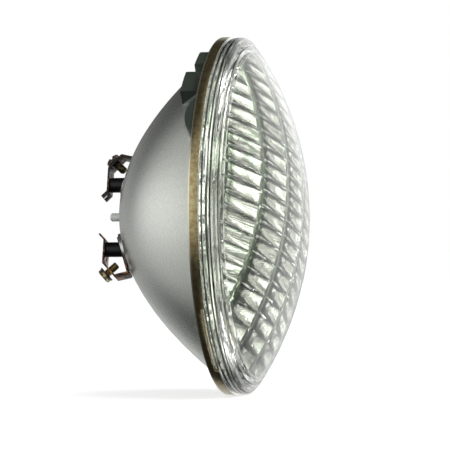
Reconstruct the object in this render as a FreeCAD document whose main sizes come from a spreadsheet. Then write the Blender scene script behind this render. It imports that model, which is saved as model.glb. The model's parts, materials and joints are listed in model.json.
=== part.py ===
# Sealed reflector spotlight bulb with a fluted lens and two screw terminals.
# Millimetres and degrees. +X is the way the light leaves, +Z is up, and the origin
# lies on the lamp's axis, in the plane of the rim's back face, where a holder seats it.

import FreeCAD, Part
import math
import os
import Sketcher

Vector = FreeCAD.Vector
os.makedirs("parts", exist_ok=True)
doc = FreeCAD.newDocument("spotlight_bulb")

# Driving sizes
# Terminal pieces are drawn in a terminal frame: x points out behind the lamp,
# y runs outwards from the lamp's axis, z runs along the width of the strip.
driving_sizes = {
    # Turn of the lens columns, the terminals and the rim lugs about the lamp's axis
    "clock_angle": -17.0,
    # Glass bowl
    "rim_radius": 89.0,
    "rim_thickness": 5.0,
    "rim_land": 6.25,
    "bowl_depth": 53.9,
    "bowl_wall": 3.0,
    "mirror_tightening": 1.25,
    "mouth_inset": 8.8,
    # Lugs behind the rim, with angles that go up from the near side, which is -Y
    "clamp_lug_start": 57.5,
    "clamp_lug_span": 8.5,
    "clamp_lug_inset": 1.4,
    "clamp_lug_height": 5.5,
    "block_lug_start": 46.5,
    "block_lug_span": 11.0,
    "block_lug_inset": 5.8,
    "block_lug_height": 10.5,
    "oval_lug_start": 26.0,
    "oval_lug_span": 14.0,
    "oval_lug_inset": 0.7,
    "oval_lug_height": 4.3,
    "lug_fillet": 0.9,
    "lug_root_ratio": 0.9,
    # Glass lens
    "lens_edge_inset": 0.4,
    "lens_side": 5.3,
    "lens_apex": 38.7,
    "lens_wall": 3.4,
    "lens_edge_fillet": 2.6,
    "key_start": -58.0,
    "key_span": 28.0,
    "key_height": 2.0,
    "key_inset": 2.8,
    "key_end_gap": 0.1,
    # Flutes on the inside of the lens
    "column_pitch": 25.4,
    "column_groove": 1.6,
    "flute_pitch": 7.5,
    "flute_depth": 1.1,
    "flute_valley": 1.5,
    "flute_arch_radius": 120.0,
    "flute_root": 1.1,
    "flute_margin": 1.2,
    # Exhaust tip
    "tip_radius": 2.1,
    "tip_bore_radius": 1.2,
    "tip_height": 6.3,
    "tip_seat_depth": 0.9,
    # Glass pad, ferrule and lead of a terminal
    "ferrule_offset": 16.9,
    "ferrule_radius": 3.75,
    "ferrule_sink": 2.0,
    "pad_radius": 8.5,
    "pad_height": 0.9,
    "pad_tilt": 19.0,
    "pad_root": 2.5,
    "lead_radius": 1.0,
    "lead_socket": 4.0,
    "seal_clearance": 0.05,
    # Bent strip bracket
    "strip_thickness": 0.9,
    "strip_width": 9.5,
    "foot_inner_reach": 5.9,
    "foot_outer_reach": 12.8,
    "screw_seat_height": 4.5,
    "screw_seat_y": 27.7,
    "screw_seat_angle": 43.0,
    "screw_seat_length": 9.0,
    "plate_height": 7.3,
    "plate_inner_end": 12.4,
    "tab_length": 4.2,
    "tab_angle": 45.0,
    "fork_width": 2.6,
    "fork_depth": 2.4,
    "rivet_radius": 1.5,
    "rivet_head_radius": 2.5,
    "rivet_head_height": 0.8,
    "wire_hole_radius": 0.8,
    "wire_hole_offset": 22.0,
    "hole_clearance": 0.2,
    # Terminal screw and its clamp washer
    "thread_radius": 2.05,
    "thread_clearance": 0.07,
    "thread_pitch": 0.79375,
    "screw_length": 7.6,
    "screw_head_radius": 3.7,
    "screw_head_height": 2.2,
    "screw_head_crown": 0.5,
    "slot_width": 1.2,
    "slot_depth": 1.2,
    "washer_radius": 4.1,
    "washer_thickness": 0.8,
    "washer_clearance": 0.25,
    "upper_turns_open": 0.5,
    "lower_turns_open": 2.0,
    # Filament
    "coil_radius": 1.9,
    "coil_wire_radius": 0.4,
    "coil_pitch": 1.7,
    "coil_turns": 7,
    "weld_gap": 0.05,
}

sheet = doc.addObject("Spreadsheet::Sheet", "dims")
for row, (alias, value) in enumerate(driving_sizes.items(), start=1):
    sheet.set("A%d" % row, alias)
    sheet.set("B%d" % row, str(value))
    sheet.setAlias("B%d" % row, alias)
doc.recompute()


def size(alias):
    """The value of one cell of the sheet."""
    return float(sheet.get(alias))


def value_of(expression):
    """What an expression on the sheet's cells comes to."""
    return float(sheet.evalExpression(expression))


def bind(item, expressions):
    for prop, expression in expressions.items():
        item.setExpression(prop, expression)


# Values worked out from the driving sizes, as expressions on the sheet
seat_radius = "(dims.rim_radius - dims.rim_land)"
bowl_focal = "(" + seat_radius + " ^ 2 / (4 * dims.bowl_depth))"
mirror_focal = "(" + bowl_focal + " - dims.mirror_tightening)"
mouth_radius = "(dims.rim_radius - dims.mouth_inset)"
mirror_vertex = "(dims.bowl_wall - dims.bowl_depth)"
mirror_mouth = mirror_vertex + " + " + mouth_radius + " ^ 2 / (4 * " + mirror_focal + ")"
lens_edge_radius = "(dims.rim_radius - dims.lens_edge_inset)"
lens_rise = "(dims.lens_apex - dims.rim_thickness - dims.lens_side)"
lens_radius = "((" + lens_edge_radius + " ^ 2 + " + lens_rise + " ^ 2) / (2 * " + lens_rise + "))"
lens_centre = "(dims.lens_apex - " + lens_radius + ")"
lens_inner_radius = "(" + lens_radius + " - dims.lens_wall)"
key_inner_radius = "(dims.rim_radius - dims.key_inset)"
flute_field_radius = "(" + mouth_radius + " - dims.flute_margin)"
pad_cos = "cos(dims.pad_tilt * 1 deg)"
pad_sin = "sin(dims.pad_tilt * 1 deg)"
seat_cos = "cos(dims.screw_seat_angle * 1 deg)"
seat_sin = "sin(dims.screw_seat_angle * 1 deg)"
pad_base = "(dims.bowl_depth - dims.ferrule_offset ^ 2 / (4 * " + bowl_focal + "))"
ferrule_base = "(" + pad_base + " + dims.pad_height - dims.ferrule_sink)"
focus_x = "(dims.bowl_depth - dims.bowl_wall - " + mirror_focal + ")"
coil_length = "(dims.coil_pitch * dims.coil_turns)"
tip_reach = "(dims.bowl_depth + dims.tip_height)"
seat_x = "(dims.bowl_depth + dims.screw_seat_height)"
plate_level = "(dims.bowl_depth + dims.plate_height)"


def turned(extra_angle="0"):
    """The turn about the lamp's axis that the lens, terminals and lugs share."""
    return (
        "placement(vector(0; 0; 0); "
        "rotation(vector(1; 0; 0); (dims.clock_angle + " + extra_angle + ") * 1 deg))"
    )


def terminal_frame(side_angle, x="0", y="0", angle="0"):
    """Places something drawn in the terminal frame, on the upper or the lower terminal."""
    flip = "placement(vector(0; 0; 0); rotation(vector(0; 1; 1); 180 deg))"
    local = (
        "placement(vector(" + x + "; " + y + "; 0); "
        "rotation(vector(0; 0; 1); (" + angle + ") * 1 deg))"
    )
    return turned(side_angle) + " * " + flip + " * " + local


# Drawing aids
def new_body(label):
    body = doc.addObject("PartDesign::Body", label)
    body.Label = label
    return body


def new_sketch(body, role, name):
    """A sketch on one of the body's own origin planes."""
    sketch = body.newObject("Sketcher::SketchObject", name)
    plane = [item for item in body.Origin.OriginFeatures if item.Role == role][0]
    sketch.AttachmentSupport = [(plane, "")]
    sketch.MapMode = "FlatFace"
    return sketch


def pin_point(sketch, geometry, point, x, y):
    """Ties a point of a sketch to two expressions; 0 puts it on the axis."""
    for kind, axis, expression in (("DistanceX", -2, x), ("DistanceY", -1, y)):
        if expression == "0":
            sketch.addConstraint(Sketcher.Constraint("PointOnObject", geometry, point, axis))
        else:
            start = value_of(expression)
            rule = Sketcher.Constraint(kind, -1, 1, geometry, point, start)
            number = sketch.addConstraint(rule)
            sketch.setExpression("Constraints[%d]" % number, expression)


def draw_path(sketch, corners, closed=True):
    """Straight lines through corners that are pairs of expressions."""
    places = [Vector(value_of(x), value_of(y), 0) for x, y in corners]
    count = len(corners)
    lines = []
    for index in range(count if closed else count - 1):
        line = Part.LineSegment(places[index], places[(index + 1) % count])
        lines.append(sketch.addGeometry(line, False))
    for index in range(1, len(lines)):
        meet = Sketcher.Constraint("Coincident", lines[index - 1], 2, lines[index], 1)
        sketch.addConstraint(meet)
    if closed:
        sketch.addConstraint(Sketcher.Constraint("Coincident", lines[-1], 2, lines[0], 1))
    else:
        pin_point(sketch, lines[-1], 2, *corners[-1])
    for line, corner in zip(lines, corners):
        pin_point(sketch, line, 1, *corner)
    return lines


def revolve(body, sketch, name):
    """Turns a sketch once round the sketch's own horizontal axis."""
    turn = body.newObject("PartDesign::Revolution", name)
    turn.Profile = (sketch, [""])
    turn.ReferenceAxis = (sketch, ["H_Axis"])
    turn.Angle = 360
    return turn


def round_bar(name, radius, length, placement):
    """A cylinder whose axis runs along local x."""
    bar = doc.addObject("Part::Cylinder", name)
    lay_down = " * placement(vector(0; 0; 0); rotation(vector(0; 1; 0); 90 deg))"
    bind(bar, {"Radius": radius, "Height": length, "Placement": placement + lay_down})
    return bar


def ring_sector(name, outer, inner, low_x, length, start, span):
    """Part of a ring round the lamp's axis; angles go up from the near side."""
    sectors = []
    aim = "placement(vector(" + low_x + "; 0; 0); rotation(vector(0; 1; 0); 90 deg))"
    # A cylinder laid along x starts its sector at -z, so 90 degrees more is the near side
    spin = " * placement(vector(0; 0; 0); rotation(vector(0; 0; 1); (-90 - (" + start + ")"
    spin += " - (" + span + ")) * 1 deg))"
    for suffix, radius in (("_outer", outer), ("_inner", inner)):
        sector = doc.addObject("Part::Cylinder", name + suffix)
        bind(sector, {"Radius": radius, "Height": length, "Angle": "(" + span + ") * 1 deg"})
        bind(sector, {"Placement": aim + spin})
        sectors.append(sector)
    return subtract(name, sectors[0], sectors[1])


def subtract(name, base, tool):
    cut = doc.addObject("Part::Cut", name)
    cut.Base = base
    cut.Tool = tool
    return cut


def overlap(name, first, second):
    common = doc.addObject("Part::MultiCommon", name)
    common.Shapes = [first, second]
    return common


def join(name, items):
    fuse = doc.addObject("Part::MultiFuse", name)
    fuse.Shapes = items
    return fuse


def draw_parabola(sketch, vertex, end_x, end_y):
    """An arc of parabola from its vertex on the axis, as the spline of three poles it equals."""
    poles = [(vertex, "0"), (vertex, end_y + " / 2"), (end_x, end_y)]
    places = [Vector(value_of(x), value_of(y), 0) for x, y in poles]
    curve = Part.BSplineCurve()
    curve.buildFromPolesMultsKnots(places, [3, 3], [0, 1], False, 2)
    arc = sketch.addGeometry(curve, False)
    sketch.exposeInternalGeometry(arc)
    for number, pole in enumerate(poles, start=1):
        pin_point(sketch, arc + number, 3, *pole)
    return arc


def draw_dish(sketch, vertex, end_x, end_y, corners):
    """A closed profile: the arc of parabola, then lines through corners, back to its vertex."""
    arc = draw_parabola(sketch, vertex, end_x, end_y)
    places = [Vector(value_of(end_x), value_of(end_y), 0)]
    places += [Vector(value_of(x), value_of(y), 0) for x, y in corners]
    places.append(Vector(value_of(vertex), 0, 0))
    previous = arc
    for index in range(len(places) - 1):
        line = sketch.addGeometry(Part.LineSegment(places[index], places[index + 1]), False)
        sketch.addConstraint(Sketcher.Constraint("Coincident", previous, 2, line, 1))
        if index > 0:
            pin_point(sketch, line, 1, *corners[index - 1])
        previous = line
    sketch.addConstraint(Sketcher.Constraint("Coincident", previous, 2, arc, 1))


def edges_where(shape, test):
    return [number for number, edge in enumerate(shape.Edges, start=1) if test(edge)]


def round_edges(name, base, radius, test):
    """Rounds the edges of a finished object that pass a test."""
    doc.recompute()
    fillet = doc.addObject("Part::Fillet", name)
    fillet.Base = base
    rounding = size(radius)
    fillet.Edges = [(number, rounding, rounding) for number in edges_where(base.Shape, test)]
    return fillet


# The outside of the glass bowl, with a flat rim round a deep parabola
bowl_outside = new_body("bowl_outside")
bowl_section = new_sketch(bowl_outside, "XZ_Plane", "bowl_section")
draw_dish(
    bowl_section,
    "-dims.bowl_depth",
    "0",
    seat_radius,
    [
        ("0", "dims.rim_radius"),
        ("dims.rim_thickness", "dims.rim_radius"),
        ("dims.rim_thickness", "0"),
    ],
)
revolve(bowl_outside, bowl_section, "bowl_outside_turn")

# The mirror cavity, which the lens closes at its mouth
mirror_cavity = new_body("mirror_cavity")
mirror_section = new_sketch(mirror_cavity, "XZ_Plane", "mirror_section")
draw_dish(
    mirror_section,
    mirror_vertex,
    mirror_mouth,
    mouth_radius,
    [
        ("dims.rim_thickness + 1", mouth_radius),
        ("dims.rim_thickness + 1", "0"),
    ],
)
revolve(mirror_cavity, mirror_section, "mirror_cavity_turn")


# Moulded lugs behind the rim, one group on each side
def lug(name, kind, turn):
    """A block with rounded back edges; it reaches in through the bowl's wall."""
    height = "dims." + kind + "_height"
    block = ring_sector(
        name,
        "dims.rim_radius - dims." + kind + "_inset",
        mouth_radius + " * dims.lug_root_ratio",
        "-" + height,
        height + " + dims.rim_thickness / 2",
        "dims." + kind + "_start + " + turn,
        "dims." + kind + "_span",
    )
    back = -size(kind + "_height")

    def on_back(edge):
        flat = all(abs(corner.X - back) < 0.001 for corner in edge.Vertexes)
        outside = max(math.hypot(corner.Y, corner.Z) for corner in edge.Vertexes)
        inside = min(math.hypot(corner.Y, corner.Z) for corner in edge.Vertexes)
        return flat and outside - inside < 0.001 and outside > value_of(mouth_radius)

    return round_edges(name + "_rounded", block, "lug_fillet", on_back)


def oval_lug(name, turn):
    """A low lug whose back is an arc: part of a ring that a cylinder trims."""
    outer = "(dims.rim_radius - dims.oval_lug_inset)"
    half_chord = "(" + outer + " * sin(dims.oval_lug_span / 2 * 1 deg))"
    arc = "((" + half_chord + " ^ 2 + dims.oval_lug_height ^ 2) / (2 * dims.oval_lug_height))"
    middle = "dims.oval_lug_start + dims.oval_lug_span / 2 + " + turn
    block = ring_sector(
        name,
        outer,
        mouth_radius + " * dims.lug_root_ratio",
        "-dims.oval_lug_height",
        "dims.oval_lug_height + dims.rim_thickness / 2",
        "dims.oval_lug_start + " + turn,
        "dims.oval_lug_span",
    )
    trim = doc.addObject("Part::Cylinder", name + "_trim")
    aim = "placement(vector(" + arc + " - dims.oval_lug_height; 0; 0); "
    aim += "rotation(vector(1; 0; 0); (90 - (" + middle + ")) * 1 deg))"
    bind(trim, {"Radius": arc, "Height": "dims.rim_radius + 5", "Placement": aim})
    return overlap(name + "_arc", block, trim)


rim_lugs = []
for side, turn in (("near", "0"), ("far", "180")):
    rim_lugs.append(lug(side + "_clamp_lug", "clamp_lug", turn))
    rim_lugs.append(lug(side + "_block_lug", "block_lug", turn))
    rim_lugs.append(oval_lug(side + "_oval_lug", turn))

# Each terminal stands on a flat glass pad, and its ferrule is sunk through it
terminal_sides = {"upper": "0", "lower": "180"}
pads = []
wall_holes = []
for side, side_angle in terminal_sides.items():
    pad_place = terminal_frame(
        side_angle,
        pad_base + " - dims.pad_root * " + pad_cos,
        "dims.ferrule_offset - dims.pad_root * " + pad_sin,
        "dims.pad_tilt",
    )
    pads.append(
        round_bar(side + "_pad", "dims.pad_radius", "dims.pad_height + dims.pad_root", pad_place)
    )
    wall_holes.append(
        round_bar(
            side + "_ferrule_recess",
            "dims.ferrule_radius + dims.seal_clearance",
            "dims.ferrule_sink + 4",
            terminal_frame(side_angle, ferrule_base, "dims.ferrule_offset"),
        )
    )
    wall_holes.append(
        round_bar(
            side + "_lead_hole",
            "dims.lead_radius + dims.seal_clearance",
            "dims.bowl_wall + 4",
            terminal_frame(side_angle, ferrule_base + " - dims.bowl_wall - 3", "dims.ferrule_offset"),
        )
    )

# The pumping hole at the back, with a seat for the exhaust tube
tip_seat = "(dims.bowl_depth - dims.tip_seat_depth)"
wall_holes.append(
    round_bar(
        "tip_seat_hole",
        "dims.tip_radius + dims.seal_clearance",
        "dims.tip_seat_depth + 1",
        terminal_frame("0", tip_seat),
    )
)
wall_holes.append(
    round_bar(
        "pumping_hole",
        "dims.tip_bore_radius",
        "dims.bowl_wall + 2",
        terminal_frame("0", tip_seat + " - dims.bowl_wall - 1"),
    )
)

# The key of the lens rim fits a notch in the bowl's rim
key_clearance = "dims.seal_clearance"
key_notch = ring_sector(
    "key_notch",
    "dims.rim_radius + 1",
    key_inner_radius + " - " + key_clearance,
    "dims.rim_thickness - dims.key_height",
    "dims.key_height + 1",
    "dims.key_start - dims.key_end_gap",
    "dims.key_span + dims.key_end_gap * 2",
)

bowl_solid = join("bowl_solid", [bowl_outside] + rim_lugs + pads)
bowl_shell = subtract("bowl_shell", bowl_solid, mirror_cavity)
reflector = subtract("reflector", bowl_shell, join("wall_cuts", wall_holes + [key_notch]))

# The lens: a shallow dome of even wall on a round rim
lens_blank = new_body("lens_blank")
lens_section = new_sketch(lens_blank, "XZ_Plane", "lens_section")


def draw_dome_arc(sketch, radius, end_y):
    """An arc about the lens ball's centre, from the lamp's axis up to a height."""
    ball = Part.Circle(Vector(value_of(lens_centre), 0, 0), Vector(0, 0, 1), value_of(radius))
    reach = math.asin(value_of(end_y) / value_of(radius))
    arc = sketch.addGeometry(Part.ArcOfCircle(ball, 0, reach), False)
    pin_point(sketch, arc, 3, lens_centre, "0")
    sketch.addConstraint(Sketcher.Constraint("PointOnObject", arc, 1, -1))
    rule = sketch.addConstraint(Sketcher.Constraint("Radius", arc, value_of(radius)))
    sketch.setExpression("Constraints[%d]" % rule, radius)
    rule = sketch.addConstraint(
        Sketcher.Constraint("DistanceY", -1, 1, arc, 2, value_of(end_y))
    )
    sketch.setExpression("Constraints[%d]" % rule, end_y)
    return arc


dome_outside = draw_dome_arc(lens_section, lens_radius, lens_edge_radius)
dome_inside = draw_dome_arc(lens_section, lens_inner_radius, mouth_radius)
rim_corners = [
    ("dims.rim_thickness", lens_edge_radius),
    ("dims.rim_thickness", mouth_radius),
]
rim_places = [lens_section.getPoint(dome_outside, 2)]
rim_places += [Vector(value_of(x), value_of(y), 0) for x, y in rim_corners]
rim_places.append(lens_section.getPoint(dome_inside, 2))
rim_lines = []
for start, end in zip(rim_places, rim_places[1:]):
    rim_lines.append(lens_section.addGeometry(Part.LineSegment(start, end), False))
crown = lens_section.addGeometry(
    Part.LineSegment(
        lens_section.getPoint(dome_inside, 1), lens_section.getPoint(dome_outside, 1)
    ),
    False,
)
for first, first_end, second, second_end in (
    (dome_outside, 2, rim_lines[0], 1),
    (rim_lines[0], 2, rim_lines[1], 1),
    (rim_lines[1], 2, rim_lines[2], 1),
    (rim_lines[2], 2, dome_inside, 2),
    (dome_inside, 1, crown, 1),
    (dome_outside, 1, crown, 2),
):
    meet = Sketcher.Constraint("Coincident", first, first_end, second, second_end)
    lens_section.addConstraint(meet)
pin_point(lens_section, rim_lines[0], 2, *rim_corners[0])
pin_point(lens_section, rim_lines[1], 2, *rim_corners[1])
lens_turn = revolve(lens_blank, lens_section, "lens_turn")
doc.recompute()


def on_lens_edge(edge):
    """True for the round edge where the outside of the dome meets the rim."""
    middle = edge.CenterOfMass
    wide = edge.BoundBox.ZLength > 2 * value_of(lens_edge_radius) - 1
    return wide and middle.x > size("rim_thickness") + 1 and abs(middle.z) < 1


lens_edge_rounding = lens_blank.newObject("PartDesign::Fillet", "lens_edge_rounding")
lens_edges = edges_where(lens_turn.Shape, on_lens_edge)
lens_edge_rounding.Base = (lens_turn, ["Edge%d" % number for number in lens_edges])
bind(lens_edge_rounding, {"Radius": "dims.lens_edge_fillet"})
lens_key = ring_sector(
    "lens_key",
    lens_edge_radius,
    key_inner_radius,
    "dims.rim_thickness - dims.key_height",
    "dims.key_height + 1",
    "dims.key_start",
    "dims.key_span",
)


# Flutes: in each column a row of rounded ridges, arched along their length
def flute_profile():
    """The scalloped section of one column, in the plane y = 0 through the ball's centre."""
    inner = value_of(lens_inner_radius)
    valley_radius = inner - size("flute_valley")
    back_radius = inner + size("flute_root")
    pitch = size("flute_pitch")
    rows = int((value_of(flute_field_radius) - pitch / 2) / pitch)
    valleys = [(row + 0.5) * pitch for row in range(-rows - 1, rows + 1)]

    def on_ball(radius, height):
        return Vector(math.sqrt(radius**2 - height**2), 0, height)

    edges = []
    for low, high in zip(valleys, valleys[1:]):
        ridge = on_ball(valley_radius, (low + high) / 2) - Vector(size("flute_depth"), 0, 0)
        arc = Part.Arc(on_ball(valley_radius, low), ridge, on_ball(valley_radius, high))
        edges.append(arc.toShape())
    bottom, top = valleys[0], valleys[-1]
    back = Part.Arc(
        on_ball(back_radius, top), on_ball(back_radius, 0), on_ball(back_radius, bottom)
    )
    edges += [
        Part.LineSegment(on_ball(valley_radius, top), on_ball(back_radius, top)).toShape(),
        back.toShape(),
        Part.LineSegment(on_ball(back_radius, bottom), on_ball(valley_radius, bottom)).toShape(),
    ]
    return Part.Face(Part.Wire(edges))


def flute_column(number):
    """One column of flutes, turned round the ball's centre to its own place and trimmed."""
    inner = value_of(lens_inner_radius)
    pitch = size("column_pitch")
    field = value_of(flute_field_radius)
    low = number * pitch + size("column_groove") / 2
    high = (number + 1) * pitch - size("column_groove") / 2
    slope = (math.asin(low / inner) + math.asin(high / inner)) / 2
    ridge_radius = inner - size("flute_valley") - size("flute_depth")
    arch_centre = Vector(ridge_radius + size("flute_arch_radius"), 0, 0)
    half_turn = math.degrees(math.asin(0.6 * pitch / size("flute_arch_radius")))
    profile = flute_profile()
    profile.rotate(arch_centre, Vector(0, 0, 1), -half_turn)
    band = profile.revolve(arch_centre, Vector(0, 0, 1), 2 * half_turn)
    band.rotate(Vector(0, 0, 0), Vector(0, 0, 1), math.degrees(slope))
    slab = Part.makeBox(inner, high - low, 2 * inner, Vector(inner / 3, low, -inner))
    field_disc = Part.makeCylinder(field, 2 * inner, Vector(0, 0, 0), Vector(1, 0, 0))
    return band.common(slab.common(field_disc))


ball_centre = "placement(vector(" + lens_centre + "; 0; 0); rotation(vector(0; 0; 1); 0 deg))"
half_columns = int(value_of(flute_field_radius) / size("column_pitch"))
flute_columns = []
for number in range(-half_columns, half_columns):
    item = doc.addObject("Part::Feature", "flute_column_%d" % (number + half_columns + 1))
    item.Shape = flute_column(number)
    bind(item, {"Placement": turned() + " * " + ball_centre})
    flute_columns.append(item)
lens = join("lens", [lens_blank, lens_key] + flute_columns)

# The exhaust tube, drawn out to a blunt sealed end
exhaust_tip = new_body("exhaust_tip")
tip_section = new_sketch(exhaust_tip, "XY_Plane", "tip_section")
draw_path(
    tip_section,
    [
        (tip_seat, "dims.tip_bore_radius"),
        (tip_seat, "dims.tip_radius"),
        (tip_reach + " - dims.tip_radius / 3", "dims.tip_radius"),
        (tip_reach, "dims.tip_radius * 2 / 3"),
        (tip_reach, "0"),
        (tip_reach + " - dims.tip_radius", "0"),
        (tip_reach + " - dims.tip_radius * 1.5", "dims.tip_bore_radius"),
    ],
)
revolve(exhaust_tip, tip_section, "exhaust_tip_turn")
bind(exhaust_tip, {"Placement": terminal_frame("0")})

# Places along the bracket, in the terminal frame; its path is the inside of the bent strip
foot_height = "(dims.pad_height + dims.strip_thickness)"


def foot_point(reach):
    """A point on the inside of the foot, a given way along the pad from the ferrule."""
    x = pad_base + " + " + foot_height + " * " + pad_cos + " - (" + reach + ") * " + pad_sin
    y = "dims.ferrule_offset + " + foot_height + " * " + pad_sin
    y += " + (" + reach + ") * " + pad_cos
    return x, y


seat_half = "dims.screw_seat_length / 2"
seat_run = "(" + plate_level + " - " + seat_x + ")"
bracket_corners = [
    foot_point("-dims.foot_inner_reach"),
    foot_point("dims.foot_outer_reach"),
    (
        seat_x + " - " + seat_half + " * " + seat_sin,
        "dims.screw_seat_y + " + seat_half + " * " + seat_cos,
    ),
    (plate_level, "dims.screw_seat_y - " + seat_run + " * " + seat_cos + " / " + seat_sin),
    (plate_level, "dims.plate_inner_end"),
    (
        plate_level + " + dims.tab_length * cos(dims.tab_angle * 1 deg)",
        "dims.plate_inner_end - dims.tab_length * sin(dims.tab_angle * 1 deg)",
    ),
]


def local_place(x, y, angle="0", z="0"):
    place = "placement(vector(" + x + "; " + y + "; " + z + "); "
    return place + "rotation(vector(0; 0; 1); (" + angle + ") * 1 deg))"


def seat_point(height):
    """A point on the screw's axis, a height above the inside of the screw seat."""
    x = seat_x + " + (" + height + ") * " + seat_cos
    y = "dims.screw_seat_y + (" + height + ") * " + seat_sin
    return x, y


def make_bracket(side, side_angle):
    """A strip bent round into a box, holed for the ferrule, rivet, screw and lead-out wire."""
    path = doc.addObject("Sketcher::SketchObject", side + "_bracket_path")
    draw_path(path, bracket_corners, closed=False)
    strip = doc.addObject("Part::Offset2D", side + "_bracket_strip")
    strip.Source = path
    strip.Fill = True
    strip.Mode = "Skin"
    strip.Join = 0
    bind(strip, {"Value": "-dims.strip_thickness"})
    sheet_metal = doc.addObject("Part::Extrusion", side + "_bracket_bent")
    sheet_metal.Base = strip
    sheet_metal.DirMode = "Custom"
    sheet_metal.Dir = Vector(0, 0, 1)
    sheet_metal.Symmetric = True
    sheet_metal.Solid = True
    bind(sheet_metal, {"LengthFwd": "dims.strip_width"})
    through_plate = "dims.strip_thickness + 2"
    holes = [
        round_bar(
            side + "_foot_hole",
            "dims.ferrule_radius + dims.hole_clearance",
            "(" + plate_level + " - " + ferrule_base + ") / 2",
            local_place(ferrule_base, "dims.ferrule_offset"),
        ),
        round_bar(
            side + "_rivet_hole",
            "dims.rivet_radius + dims.seal_clearance",
            through_plate,
            local_place(plate_level + " - 1", "dims.ferrule_offset"),
        ),
        round_bar(
            side + "_wire_hole",
            "dims.wire_hole_radius",
            through_plate,
            local_place(plate_level + " - 1", "dims.wire_hole_offset"),
        ),
        round_bar(
            side + "_screw_hole",
            "dims.thread_radius + dims.thread_clearance",
            through_plate,
            local_place(*seat_point("-1"), angle="dims.screw_seat_angle"),
        ),
    ]
    notch = doc.addObject("Part::Box", side + "_fork_notch")
    notch_start = "(dims.tab_length - dims.fork_depth)"
    notch_place = local_place(
        plate_level + " + " + notch_start + " * cos(dims.tab_angle * 1 deg)"
        " - dims.fork_depth * sin(dims.tab_angle * 1 deg)",
        "dims.plate_inner_end - " + notch_start + " * sin(dims.tab_angle * 1 deg)"
        " - dims.fork_depth * cos(dims.tab_angle * 1 deg)",
        "-dims.tab_angle",
        "-dims.fork_width / 2",
    )
    bind(
        notch,
        {
            "Length": "dims.fork_depth + 1",
            "Width": "dims.fork_depth * 2",
            "Height": "dims.fork_width",
            "Placement": notch_place,
        },
    )
    tools = join(side + "_bracket_holes", holes + [notch])
    bracket = subtract(side + "_bracket", sheet_metal, tools)
    bind(bracket, {"Placement": terminal_frame(side_angle)})
    return bracket


def make_ferrule(side, side_angle):
    """A turned stud sunk in the glass; its end is riveted over the bracket's plate."""
    plate_back = "(" + plate_level + " + dims.strip_thickness)"
    body = new_body(side + "_ferrule")
    section = new_sketch(body, "XY_Plane", side + "_ferrule_section")
    draw_path(
        section,
        [
            (ferrule_base, "dims.lead_radius + dims.seal_clearance"),
            (ferrule_base, "dims.ferrule_radius"),
            (plate_level, "dims.ferrule_radius"),
            (plate_level, "dims.rivet_radius"),
            (plate_back, "dims.rivet_radius"),
            (plate_back, "dims.rivet_head_radius"),
            (plate_back + " + dims.rivet_head_height", "dims.rivet_head_radius / 2"),
            (plate_back + " + dims.rivet_head_height", "0"),
            (ferrule_base + " + dims.lead_socket", "0"),
            (ferrule_base + " + dims.lead_socket", "dims.lead_radius + dims.seal_clearance"),
        ],
    )
    revolve(body, section, side + "_ferrule_turn")
    bind(body, {"Placement": terminal_frame(side_angle, "0", "dims.ferrule_offset")})
    return body


def make_washer(side, side_angle):
    """A flat round clamp washer, loose on the screw."""
    gap = "dims." + side + "_turns_open * dims.thread_pitch"
    body = new_body(side + "_washer")
    section = new_sketch(body, "XY_Plane", side + "_washer_section")
    bore = "dims.thread_radius + dims.washer_clearance"
    draw_path(
        section,
        [
            ("0", bore),
            ("0", "dims.washer_radius"),
            ("dims.washer_thickness", "dims.washer_radius"),
            ("dims.washer_thickness", bore),
        ],
    )
    revolve(body, section, side + "_washer_turn")
    x, y = seat_point("dims.strip_thickness + " + gap)
    bind(body, {"Placement": terminal_frame(side_angle, x, y, "dims.screw_seat_angle")})
    return body


def make_screw(side, side_angle):
    """A slotted screw with a low crowned head; its shank runs through the screw seat."""
    gap = "dims." + side + "_turns_open * dims.thread_pitch"
    body = new_body(side + "_screw")
    section = new_sketch(body, "XY_Plane", side + "_screw_section")
    draw_path(
        section,
        [
            ("-dims.screw_length", "0"),
            ("-dims.screw_length", "dims.thread_radius - dims.thread_pitch / 2"),
            ("dims.thread_pitch / 2 - dims.screw_length", "dims.thread_radius"),
            ("0", "dims.thread_radius"),
            ("0", "dims.screw_head_radius"),
            ("dims.screw_head_height - dims.screw_head_crown", "dims.screw_head_radius"),
            ("dims.screw_head_height", "dims.screw_head_radius * 3 / 4"),
            ("dims.screw_head_height", "0"),
        ],
    )
    revolve(body, section, side + "_screw_turn")
    doc.recompute()
    slot = new_sketch(body, "XY_Plane", side + "_screw_slot")
    slot_floor = "dims.screw_head_height - dims.slot_depth"
    above = "dims.screw_head_height + 1"
    draw_path(
        slot,
        [
            (slot_floor, "-dims.slot_width / 2"),
            (above, "-dims.slot_width / 2"),
            (above, "dims.slot_width / 2"),
            (slot_floor, "dims.slot_width / 2"),
        ],
    )
    cut = body.newObject("PartDesign::Pocket", side + "_screw_slot_cut")
    cut.Profile = (slot, [""])
    cut.Midplane = True
    bind(cut, {"Length": "dims.screw_head_radius * 2 + 2"})
    x, y = seat_point("dims.strip_thickness + dims.washer_thickness + " + gap)
    bind(body, {"Placement": terminal_frame(side_angle, x, y, "dims.screw_seat_angle")})
    return body


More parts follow.
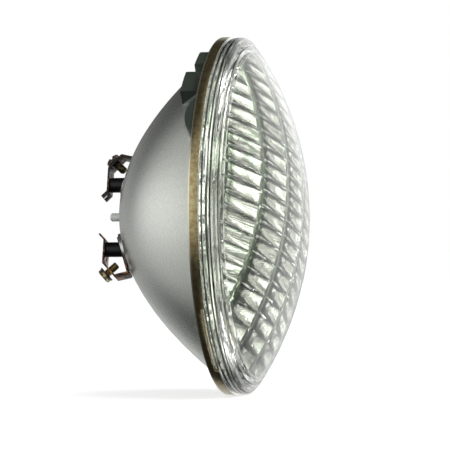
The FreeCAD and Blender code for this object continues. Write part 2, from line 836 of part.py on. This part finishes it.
def make_lead(side, side_angle):
    """A stiff wire from the ferrule's socket to one end of the filament."""
    coil_back = "(" + focus_x + " + dims.coil_radius + dims.coil_wire_radius + dims.weld_gap)"
    coil_end = coil_length + " / 2"
    body = new_body(side + "_lead")
    path = new_sketch(body, "XY_Plane", side + "_lead_path")
    start = ferrule_base + " + dims.lead_socket - dims.seal_clearance"
    draw_path(
        path,
        [
            (start, "dims.ferrule_offset"),
            (ferrule_base + " - dims.bowl_wall * 2", "dims.ferrule_offset"),
            (coil_back + " + dims.lead_radius * 6", coil_end),
            (coil_back, coil_end),
        ],
        closed=False,
    )
    section = new_sketch(body, "YZ_Plane", side + "_lead_section")
    circle = Part.Circle(Vector(size("ferrule_offset"), 0, 0), Vector(0, 0, 1), size("lead_radius"))
    ring = section.addGeometry(circle, False)
    pin_point(section, ring, 3, "dims.ferrule_offset", "0")
    rule = section.addConstraint(Sketcher.Constraint("Radius", ring, size("lead_radius")))
    section.setExpression("Constraints[%d]" % rule, "dims.lead_radius")
    section.setExpression("AttachmentOffset.Base.z", start)
    pipe = body.newObject("PartDesign::AdditivePipe", side + "_lead_pipe")
    pipe.Profile = (section, [""])
    pipe.Spine = (path, ["Edge1", "Edge2", "Edge3"])
    pipe.Transition = 2
    bind(body, {"Placement": terminal_frame(side_angle)})
    return body


terminal_pieces = []
for side, side_angle in terminal_sides.items():
    terminal_pieces.append(make_ferrule(side, side_angle))
    terminal_pieces.append(make_bracket(side, side_angle))
    terminal_pieces.append(make_washer(side, side_angle))
    terminal_pieces.append(make_screw(side, side_angle))
    terminal_pieces.append(make_lead(side, side_angle))

# The filament: a coil across the lamp's axis, with its middle at the mirror's focus
coil_path = doc.addObject("Part::Helix", "coil_path")
coil_path.Angle = 0
bind(coil_path, {"Pitch": "dims.coil_pitch", "Height": coil_length, "Radius": "dims.coil_radius"})
coil_section = doc.addObject("Part::RegularPolygon", "coil_section")
coil_section.Polygon = 8
section_place = "placement(vector(dims.coil_radius; 0; 0); rotation(vector(1; 0; 0); 90 deg))"
bind(coil_section, {"Circumradius": "dims.coil_wire_radius", "Placement": section_place})
filament = doc.addObject("Part::Sweep", "filament")
filament.Sections = [coil_section]
filament.Spine = (coil_path, [])
filament.Solid = True
filament.Frenet = True
coil_aim = " * placement(vector(-" + focus_x + "; 0; -" + coil_length + " / 2); "
coil_aim += "rotation(vector(0; 0; 1); 180 deg))"
bind(filament, {"Placement": turned() + coil_aim})

doc.recompute()

# Every object has to be sound before anything is written
nodes = [reflector, lens, exhaust_tip, filament] + terminal_pieces
for item in doc.Objects:
    if {"Invalid", "Error"} & set(item.State):
        raise RuntimeError("%s has failed: %s" % (item.Label, item.State))
for node in nodes:
    if node.Shape.isNull() or not node.Shape.isValid():
        raise RuntimeError("%s has no sound shape" % node.Label)
for node in nodes:
    node.Shape.exportStep(os.path.join("parts", node.Label + ".step"))
    print("%-16s solids %d  volume %9.1f" % (node.Label, len(node.Shape.Solids), node.Shape.Volume))
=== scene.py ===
import json
import math

import bpy
from mathutils import Matrix, Vector


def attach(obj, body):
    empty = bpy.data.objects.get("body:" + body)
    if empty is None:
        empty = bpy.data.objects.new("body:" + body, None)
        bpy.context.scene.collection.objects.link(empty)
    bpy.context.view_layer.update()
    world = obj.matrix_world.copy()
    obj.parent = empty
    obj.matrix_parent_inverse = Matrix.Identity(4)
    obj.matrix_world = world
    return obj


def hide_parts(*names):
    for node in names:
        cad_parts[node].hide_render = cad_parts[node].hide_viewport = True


# Sealed spotlight bulb: the looks of the glass bowl, the fluted lens and the two screw terminals.
# Metres. +X is the way the light leaves, +Z is up, the camera looks from the near side, -Y.

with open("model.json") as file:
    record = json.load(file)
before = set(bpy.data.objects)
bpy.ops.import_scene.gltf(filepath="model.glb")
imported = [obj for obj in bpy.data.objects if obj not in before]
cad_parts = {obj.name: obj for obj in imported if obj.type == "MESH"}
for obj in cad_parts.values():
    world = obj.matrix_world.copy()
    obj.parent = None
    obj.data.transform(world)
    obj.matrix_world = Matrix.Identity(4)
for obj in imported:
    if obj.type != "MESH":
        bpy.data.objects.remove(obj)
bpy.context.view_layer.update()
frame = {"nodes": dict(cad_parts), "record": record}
nodes = frame["nodes"]
behaviour = frame["record"]["behaviour"]
bodyOf = {node: body for body, members in behaviour["bodies"].items() for node in members}
print("frame loaded:", len(nodes), "nodes")

mm = 0.001
clockTurn = math.radians(17)  # how far the lens columns lean about the lamp's axis


# One socket of a material; sums and products of sockets add their own Math nodes
class Field:
    def __init__(self, finish, socket):
        self.finish = finish
        self.socket = socket

    def math(self, operation, *others):
        inputs = dict(enumerate([self, *others]))
        return self.finish.node("ShaderNodeMath", {"operation": operation}, inputs)

    def __add__(self, other):
        return self.math("ADD", other)

    def __radd__(self, other):
        return self.math("ADD", other)

    def __sub__(self, other):
        return self.math("SUBTRACT", other)

    def __rsub__(self, other):
        return self.math("MULTIPLY", -1) + other

    def __mul__(self, other):
        return self.math("MULTIPLY", other)

    def __rmul__(self, other):
        return self.math("MULTIPLY", other)

    def __truediv__(self, other):
        return self.math("DIVIDE", other)

    def __abs__(self):
        return self.math("ABSOLUTE")


# A material or a world being made: one method adds any node, the rest name what is used most
class Finish:
    def __init__(self, owner, end="ShaderNodeOutputMaterial"):
        self.owner = owner
        owner.use_nodes = True
        self.tree = owner.node_tree
        self.tree.nodes.clear()
        self.end = self.tree.nodes.new(end)

    def node(self, kind, settings=None, inputs=None, output=0):
        made = self.tree.nodes.new(kind)
        for setting, value in (settings or {}).items():
            setattr(made, setting, value)
        for key, value in (inputs or {}).items():
            if isinstance(value, Field):
                self.tree.links.new(value.socket, made.inputs[key])
            else:
                made.inputs[key].default_value = value
        return Field(self, made.outputs[output])

    def place(self, turn=0.0):
        coordinates = self.node("ShaderNodeTexCoord", output="Object")
        if turn:
            turned = {"Vector": coordinates, "Rotation": (turn, 0, 0)}
            coordinates = self.node("ShaderNodeMapping", {"vector_type": "POINT"}, turned)
        return coordinates

    def parts(self, vector):
        split = self.node("ShaderNodeSeparateXYZ", inputs={0: vector}).socket.node
        return [Field(self, out) for out in split.outputs]

    def noise(self, vector, scale, detail=3.0):
        inputs = {"Vector": vector, "Scale": scale, "Detail": detail}
        return self.node("ShaderNodeTexNoise", inputs=inputs)

    def fromAxis(self, y, z):
        return self.node("ShaderNodeMath", {"operation": "SQRT"}, {0: y * y + z * z})

    def bounced(self, value, length):  # rises to the length and falls to 0 again, over and over
        return self.node("ShaderNodeMath", {"operation": "PINGPONG"}, {0: value, 1: length})

    def step(self, value, low, high):  # 0 below low, 1 above high, smooth between
        ends = {"Value": value, "From Min": low, "From Max": high}
        return self.node("ShaderNodeMapRange", {"interpolation_type": "SMOOTHSTEP"}, ends)

    def scaled(self, value, low, high, toLow, toHigh):
        ends = {"Value": value, "From Min": low, "From Max": high}
        results = {"To Min": toLow, "To Max": toHigh}
        return self.node("ShaderNodeMapRange", inputs=ends | results)

    def mix(self, factor, first, second):  # sockets 6 and 7 are the colour pair of a Mix node
        pair = (first, second)
        colours = [colour if isinstance(colour, Field) else (*colour, 1) for colour in pair]
        inputs = {"Factor": factor, 6: colours[0], 7: colours[1]}
        return self.node("ShaderNodeMix", {"data_type": "RGBA"}, inputs, output=2)

    def bump(self, height, distance, strength=1.0):
        inputs = {"Height": height, "Distance": distance, "Strength": strength}
        return self.node("ShaderNodeBump", inputs=inputs)

    def close(self, kind="ShaderNodeBsdfPrincipled", **sockets):
        inputs = {}
        for key, value in sockets.items():
            inputs[key.replace("_", " ")] = (*value, 1) if isinstance(value, tuple) else value
        self.tree.links.new(self.node(kind, inputs=inputs).socket, self.end.inputs["Surface"])
        return self.owner


def newFinish(name):
    return Finish(bpy.data.materials.new(name))


def shade(red, green, blue):  # a colour as seen on screen, 0 to 255, made linear
    return tuple(((level / 255 + 0.055) / 1.055) ** 2.4 for level in (red, green, blue))


def activate(piece):
    bpy.ops.object.select_all(action="DESELECT")
    piece.select_set(True)
    bpy.context.view_layer.objects.active = piece


def roundEdges(piece, width, sharpest=40.0):
    activate(piece)
    bevel = piece.modifiers.new("soft edges", "BEVEL")
    bevel.width = width
    bevel.segments = 2
    bevel.limit_method = "ANGLE"
    bevel.angle_limit = math.radians(sharpest)
    bpy.ops.object.modifier_apply(modifier=bevel.name)


# A finished piece: a welded copy of its CAD node, with the flat faces made whole and soft edges
def refine(nodeName, edgeWidth=0.0, smoothAngle=32.0):
    activate(nodes[nodeName])
    bpy.ops.object.duplicate()
    piece = bpy.context.active_object
    piece.name = nodeName + "_finished"
    if piece.data.has_custom_normals:
        bpy.ops.mesh.customdata_custom_splitnormals_clear()
    bpy.ops.object.mode_set(mode="EDIT")
    bpy.ops.mesh.select_all(action="SELECT")
    bpy.ops.mesh.remove_doubles(threshold=0.002 * mm)
    if edgeWidth:
        bpy.ops.mesh.dissolve_limited(angle_limit=math.radians(0.5))
    bpy.ops.object.mode_set(mode="OBJECT")
    if edgeWidth:
        roundEdges(piece, edgeWidth)
    activate(piece)
    bpy.ops.object.shade_smooth_by_angle(angle=math.radians(smoothAngle))
    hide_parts(nodeName)
    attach(piece, bodyOf[nodeName])
    return piece


def dress(piece, material, slotName):
    piece.data.materials.clear()
    piece.data.materials.append(material)


bowl = {
    "satin": shade(206, 209, 203),
    "satinEdge": shade(186, 190, 182),
    "band": shade(168, 160, 122),
    "bandBrown": shade(146, 126, 88),
    "bandEdge": shade(226, 220, 196),
    "lug": shade(90, 99, 90),
    "mirror": shade(232, 234, 232),
    "land": shade(246, 250, 240),  # the rim's front face, which shows through the lens
    "focal": 30.5 * mm,
    "vertex": -50.9 * mm,
    "outerFocal": 31.76 * mm,
    "depth": 53.9 * mm,
    "mouthRadius": 80.1 * mm,
    "lugsFrom": 60 * mm,
    "rimHeight": 5 * mm,
    "edgeFades": (50 * mm, 84 * mm),  # the radii between which painted shade darkens the satin towards the rim
    "backLine": (0.5 * mm, 0.9 * mm),
    "grainScale": 900,
    "patchScale": 520,
    "patchEdges": (0.36, 0.66),
    "sheen": 0.9,
    "lugSheen": 0.35,  # how much less
    "satinRough": (0.26, 0.3),
    "mirrorRough": 0.1,
    "softEdge": 0.4 * mm,
}


def bowlFinish():
    finish = newFinish("bowl glass")
    position = finish.place()
    x, y, z = finish.parts(position)
    radius = finish.fromAxis(y, z)
    mouth = bowl["mouthRadius"]
    # Masks, 1 on the part that each is named for
    fromMirror = x - radius * radius / (4 * bowl["focal"]) - bowl["vertex"]
    inside = finish.step(fromMirror, -1.2 * mm, -0.6 * mm)
    inside = inside * (1 - finish.step(radius, mouth + 0.3 * mm, mouth + 0.7 * mm))
    rim = finish.step(x, -0.15 * mm, 0.05 * mm)
    fromSkin = x - radius * radius / (4 * bowl["outerFocal"]) + bowl["depth"]
    behindSkin = 1 - finish.step(fromSkin, -0.6 * mm, -0.3 * mm)
    lugs = behindSkin * finish.step(radius, bowl["lugsFrom"], bowl["lugsFrom"] + 1 * mm)
    lugs = lugs * (1 - rim)
    land = finish.step(x, bowl["rimHeight"] - 0.15 * mm, bowl["rimHeight"] - 0.05 * mm)
    land = land * finish.step(radius, mouth, mouth + 0.1 * mm)
    silvered = inside.math("MAXIMUM", land)
    # Colours, from the satin skin to the mirror
    grain = finish.noise(position, bowl["grainScale"], 2)
    # Painted shade: the satin darkens towards the rim; the grain also varies its tone at random
    rimShade = finish.scaled(radius, *bowl["edgeFades"], 0, 1)
    satin = finish.mix(rimShade + 0.5 * (grain - 0.5), bowl["satin"], bowl["satinEdge"])
    # Painted highlight: a light line along the back edge of the rim band
    backLine = 1 - finish.step(x, *bowl["backLine"])
    patches = finish.step(finish.noise(position, bowl["patchScale"], 5), *bowl["patchEdges"])
    band = finish.mix(patches, bowl["band"], bowl["bandBrown"])
    colour = finish.mix(rim, satin, finish.mix(backLine, band, bowl["bandEdge"]))
    colour = finish.mix(lugs, colour, bowl["lug"])
    colour = finish.mix(inside, colour, bowl["mirror"])
    colour = finish.mix(land, colour, bowl["land"])
    metal = silvered + (1 - silvered) * (bowl["sheen"] - lugs * bowl["lugSheen"])
    smoother = 1 - lugs * 0.55 - rim * 0.3  # pressed glass that isn't frosted
    skin = finish.scaled(grain, 0.3, 0.7, *bowl["satinRough"]) * smoother
    rough = skin * (1 - silvered) + silvered * bowl["mirrorRough"]
    return finish.close(Base_Color=colour, Metallic=metal, Roughness=rough)


lens = {
    "glass": shade(250, 252, 244),
    "groove": shade(168, 190, 160),
    "valley": shade(84, 102, 86),
    "line": shade(16, 22, 18),
    "rings": {6.4: 0.3, 8.95: 0.34, 10.5: 0.22, 13.4: 0.1},  # heights and half widths, in mm, of the painted dark rings that stand in for refractions
    "ridge": 0.9 * mm,
    "borderFrom": 80.4 * mm,
    "columnPitch": 25.4 * mm,
    "grooveSides": (0.7 * mm, 1.6 * mm),
    "flutePitch": 7.5 * mm,
    "valleySides": (0.9 * mm, 0.3 * mm),
    "fieldRadius": 79 * mm,
    "flutedSphere": (-113.7 * mm, 149.3 * mm),  # where its centre is on the axis, and its radius
    "relief": 0.45 * mm,
    "airGap": 0.02 * mm,
}


def lensFinish():
    finish = newFinish("lens glass")
    position = finish.place(clockTurn)
    x, y, z = finish.parts(position)
    groove = 1 - finish.step(finish.bounced(y, lens["columnPitch"] / 2), *lens["grooveSides"])
    radius = finish.fromAxis(y, z)
    border = finish.step(radius, lens["borderFrom"], lens["borderFrom"] + 0.5 * mm)
    field = 1 - finish.step(radius, lens["fieldRadius"] - 0.6 * mm, lens["fieldRadius"])
    colour = finish.mix(groove * field, lens["glass"], lens["groove"])
    centre, sphere = lens["flutedSphere"]
    fromCentre = {0: position, 1: (centre, 0, 0)}
    distance = {"operation": "DISTANCE"}
    reach = finish.node("ShaderNodeVectorMath", distance, fromCentre, output="Value")
    inner = 1 - finish.step(reach, sphere, sphere + 0.4 * mm)  # the side with the flutes
    halfFlute = lens["flutePitch"] / 2
    starts, full = [halfFlute - side for side in lens["valleySides"]]
    # Painted shade: dark lines in the valleys between the pillows
    valley = finish.step(finish.bounced(z, halfFlute), starts, full)
    colour = finish.mix(inner * field * (1 - groove) * valley, colour, lens["valley"])
    # Painted shade: dark rings round the border, in place of dark refractions in the glass
    for height, width in lens["rings"].items():
        line = 1 - finish.step(abs(x - height * mm), width * mm, (width + 0.2) * mm)
        colour = finish.mix(border * line, colour, lens["line"])
    ridges = finish.bounced(x, lens["ridge"]) / lens["ridge"]
    waves = finish.noise(finish.place(), 260, 2)
    relief = finish.bump(border * ridges + 0.3 * waves, lens["relief"], 0.7)
    return finish.close(
        Base_Color=colour, Roughness=0.02, IOR=1.5, Transmission_Weight=0.95, Normal=relief)


metals = {  # bare metal shows where the clouds of tarnish, with painted shade added on the upper terminal, stay under the value "bareUpTo"
    "ferrule": {
        "clean": shade(74, 68, 66),
        "tarnish": shade(20, 18, 20),
        "bareUpTo": 0.3,
        "edge": 0.2 * mm,
        "darkerAbove": 0.1,
    },
    "bracket": {
        "clean": shade(140, 98, 72),
        "tarnish": shade(30, 23, 22),
        "bareUpTo": 0.42,
        "edge": 0.1 * mm,
        "darkerAbove": 0.08,
    },
    "washer": {
        "clean": shade(120, 104, 78),
        "tarnish": shade(30, 26, 24),
        "bareUpTo": 0.45,
        "edge": 0.1 * mm,
        "darkerAbove": 0.2,
    },
    "screw": {
        "clean": shade(168, 158, 116),
        "tarnish": shade(52, 46, 34),
        "bareUpTo": 0.55,
        "edge": 0.12 * mm,
        "darkerAbove": 0.2,
    },
    "lead": {
        "clean": shade(206, 204, 196),
        "tarnish": shade(120, 116, 108),
        "bareUpTo": 0.8,
        "edge": 0.0,
        "darkerAbove": 0.0,
    },
}
slots = {"washer": "bracket_metal"}  # every other metal's slot name is its kind with _metal


def metalFinish(kind, look):
    finish = newFinish(kind + " metal")
    position = finish.place()
    shadedUpper = finish.step(finish.parts(position)[2], -5 * mm, 5 * mm)  # 1 on the upper terminal, which gets painted shade as more of the tarnish colour
    tarnishAndShadeClouds = finish.noise(position, 380, 4) + look["darkerAbove"] * shadedUpper
    grain = finish.noise(position, 2400, 2)
    bare = 1 - finish.step(tarnishAndShadeClouds, look["bareUpTo"], look["bareUpTo"] + 0.12)
    colour = finish.mix(bare, look["tarnish"], look["clean"])
    rough = finish.scaled(grain, 0.3, 0.7, 0.3, 0.5) - 0.08 * bare
    relief = finish.bump(grain, 0.04 * mm, 0.4)
    return finish.close(
        Base_Color=colour, Metallic=0.35 + 0.6 * bare, Roughness=rough, Normal=relief)


screw = {
    "headHeight": 2.2 * mm,
    "length": 7.6 * mm,
    "tip": 0.5 * mm,
    "crest": 2.05 * mm,
    "pitch": 0.79375 * mm,
    "turns": 8,
    "stepsInTurn": 32,
}


# The threaded shank: a core with a ridge wound on it, made upright and then set on the screw's axis
def threadedShank(side, underHead, axis):
    ridge = screw["pitch"] / 2
    root = screw["crest"] - ridge
    bpy.ops.object.select_all(action="DESELECT")
    bpy.ops.mesh.primitive_cylinder_add(vertices=48, radius=root, depth=screw["length"],
                                        location=(0, 0, -screw["length"] / 2))
    core = bpy.context.active_object
    roundEdges(core, screw["tip"])
    bpy.ops.mesh.primitive_circle_add(vertices=4, radius=ridge, location=(root, 0, 0),
                                      rotation=(math.pi / 2, 0, 0))
    thread = bpy.context.active_object
    bpy.ops.object.transform_apply(location=True, rotation=True, scale=True)
    winding = thread.modifiers.new("winding", "SCREW")
    winding.axis = "Z"
    winding.screw_offset = screw["pitch"]
    winding.iterations = screw["turns"]
    winding.steps = screw["stepsInTurn"]
    winding.render_steps = screw["stepsInTurn"]
    bpy.ops.object.modifier_apply(modifier=winding.name)
    activate(thread)
    bpy.ops.object.mode_set(mode="EDIT")
    bpy.ops.mesh.select_all(action="SELECT")
    bpy.ops.mesh.fill_holes(sides=4)
    bpy.ops.mesh.normals_make_consistent(inside=False)
    bpy.ops.object.mode_set(mode="OBJECT")
    thread.location = (0, 0, -screw["length"] + screw["tip"])
    core.select_set(True)
    bpy.ops.object.join()
    shank = bpy.context.active_object
    shank.name = side + "_shank"
    bpy.ops.object.shade_smooth_by_angle(angle=math.radians(30))
    bpy.ops.object.transform_apply(location=True, rotation=True, scale=True)
    shank.rotation_mode = "QUATERNION"
    shank.rotation_quaternion = axis.to_track_quat("Z", "Y")
    shank.location = underHead
    bpy.ops.object.transform_apply(location=True, rotation=True, scale=True)
    return shank


# A terminal screw: the head of its CAD node on the threaded shank
def finishScrew(side, joint):
    axis = Vector(joint["axis"])
    anchor = Vector(joint["pos_m"])
    head = refine(side + "_screw", metals["screw"]["edge"])
    top = max(axis.dot(vertex.co - anchor) for vertex in head.data.vertices)
    underHead = anchor + axis * (top - screw["headHeight"])
    activate(head)
    bpy.ops.object.mode_set(mode="EDIT")
    bpy.ops.mesh.select_all(action="SELECT")
    bpy.ops.mesh.bisect(plane_co=underHead, plane_no=axis, use_fill=True, clear_inner=True)
    bpy.ops.object.mode_set(mode="OBJECT")
    shank = threadedShank(side, underHead, axis)
    activate(head)
    shank.select_set(True)
    bpy.ops.object.join()
    return head


print("pieces")
bowlPiece = refine("reflector", bowl["softEdge"])
dress(bowlPiece, bowlFinish(), "bowl_glass")
lensPiece = refine("lens")
airGap = lensPiece.modifiers.new("air gap", "DISPLACE")  # the rim's front face shows through it
airGap.strength = -lens["airGap"]
airGap.mid_level = 0
bpy.ops.object.modifier_apply(modifier=airGap.name)
dress(lensPiece, lensFinish(), "lens_glass")

turns = {joint["child"]: joint for joint in behaviour["joints"] if joint["type"] == "hinge"}
for kind, look in metals.items():
    material = metalFinish(kind, look)
    for side in ("upper", "lower"):
        if kind == "screw":
            piece = finishScrew(side, turns[side + "_screw"])
        else:
            piece = refine(side + "_" + kind, look["edge"])
        dress(piece, material, slots.get(kind, kind + "_metal"))
    print(kind, "pieces done")

tubeGlass = newFinish("tube glass").close(
    Base_Color=shade(250, 250, 246), Roughness=0.2, IOR=1.5, Transmission_Weight=0.1)
dress(refine("exhaust_tip"), tubeGlass, "tube_glass")
coilMetal = newFinish("filament metal").close(
    Base_Color=shade(120, 120, 122), Metallic=1.0, Roughness=0.3)
dress(refine("filament"), coilMetal, "filament_metal")

# Studio: pale floor, white world, soft lights and the camera at the photograph's angle
print("studio")
pixel = 0.4986 * mm  # of the photograph, at the lamp
studio = {
    "floorDrop": 89.4 * mm,
    "floorSize": 6,
    "distance": 1.6,
    "azimuth": math.radians(12.4),
    "roll": math.radians(-0.7),
    "frameWidth": 450 * pixel,
    "shiftRight": 3 * pixel,
    "shiftUp": 9 * pixel,
    "sensor": 36,  # in mm, and so is the lens
}

bpy.ops.object.select_all(action="DESELECT")
bpy.ops.mesh.primitive_plane_add(size=studio["floorSize"], location=(0, 0, -studio["floorDrop"]))
floor = bpy.context.active_object
floor.name = "studio_floor"
paleFloor = newFinish("pale floor").close(
    Base_Color=(0.9, 0.9, 0.9), Roughness=0.9, Specular_IOR_Level=0.1,
    Emission_Color=(1, 1, 1), Emission_Strength=0.62)
floor.data.materials.append(paleFloor)
floor.visible_glossy = False  # the satin bowl would otherwise be lit from below
floor.visible_diffuse = False
floor.visible_transmission = False

# What the glass mirrors: windows in front of the lens, and soft lights round the bowl
room = {  # the way to each light, how strong it is, and the cosine at its faint edge
    "frontFill": ((1, 0.1, 0), 0.14, 0.0),
    "frontWindow": ((0.88, -0.4, -0.15), 3.6, 0.92),
    "highWindow": ((0.62, 0.22, 0.75), 3.4, 0.9),
    "lowWindow": ((0.62, 0.24, -0.75), 3.8, 0.86),
    "farWindow": ((0.42, 0.9, 0.05), 1.2, 0.77),
    "ceiling": ((0.45, -0.1, 0.88), 0.8, 0.8),
    "frontLow": ((0.45, -0.35, -0.82), 0.5, 0.8),
    "nearSide": ((0.1, -0.95, 0.3), 0.8, 0.6),
    "nearLeft": ((-0.62, -0.76, 0.15), 0.7, 0.76),
    "behind": ((-0.02, 0.97, 0.25), 0.7, 0.95),
    "leftHigh": ((-0.94, 0.05, 0.26), 0.7, 0.84),
    "left": ((-0.97, 0.14, -0.13), 0.78, 0.87),
    "backLeft": ((-0.84, 0.48, 0.22), 0.06, 0.75),
    "lowLeft": ((-0.6, 0.78, -0.15), 0.4, 0.88),
    "lowBack": ((-0.2, 0.88, -0.42), 0.7, 0.89),
}
world = bpy.data.worlds.new("studio")
bpy.context.scene.world = world
sky = Finish(world, "ShaderNodeOutputWorld")
direction = sky.node("ShaderNodeTexCoord", output="Generated")
glow = 0.02  # what the rest of the room gives
for towards, strength, edge in room.values():
    aimed = {0: direction, 1: Vector(towards).normalized()}
    near = sky.node("ShaderNodeVectorMath", {"operation": "DOT_PRODUCT"}, aimed, output="Value")
    glow = glow + strength * sky.step(near, edge, 1)
cameraRay = sky.node("ShaderNodeLightPath", output="Is Camera Ray")
sky.close("ShaderNodeBackground", Color=(1, 1, 1), Strength=glow.math("MAXIMUM", cameraRay))

softBox = {"place": (0.9, -1.0, 0.9), "side": 0.6, "power": 9}
bpy.ops.object.light_add(type="AREA", location=softBox["place"])
frontLight = bpy.context.active_object
frontLight.name = "front_soft"
frontLight.data.shape = "SQUARE"
frontLight.data.size = softBox["side"]
frontLight.data.energy = softBox["power"]
frontLight.visible_camera = False
frontLight.rotation_mode = "QUATERNION"
frontLight.rotation_quaternion = (-frontLight.location).to_track_quat("-Z", "Y")

back = Vector((math.sin(studio["azimuth"]), -math.cos(studio["azimuth"]), 0))
right = Vector((math.cos(studio["azimuth"]), math.sin(studio["azimuth"]), 0))
aim = -right * studio["shiftRight"] - Vector((0, 0, studio["shiftUp"]))
bpy.ops.object.camera_add(location=aim + back * studio["distance"])
camera = bpy.context.active_object
camera.name = "photo_camera"
camera.data.sensor_width = studio["sensor"]
camera.data.lens = studio["sensor"] * studio["distance"] / studio["frameWidth"]
camera.rotation_mode = "QUATERNION"
roll = Matrix.Rotation(studio["roll"], 4, "Z").to_quaternion()
camera.rotation_quaternion = (-back).to_track_quat("-Z", "Y") @ roll
bpy.context.scene.camera = camera
bpy.context.scene.view_settings.view_transform = "Standard"
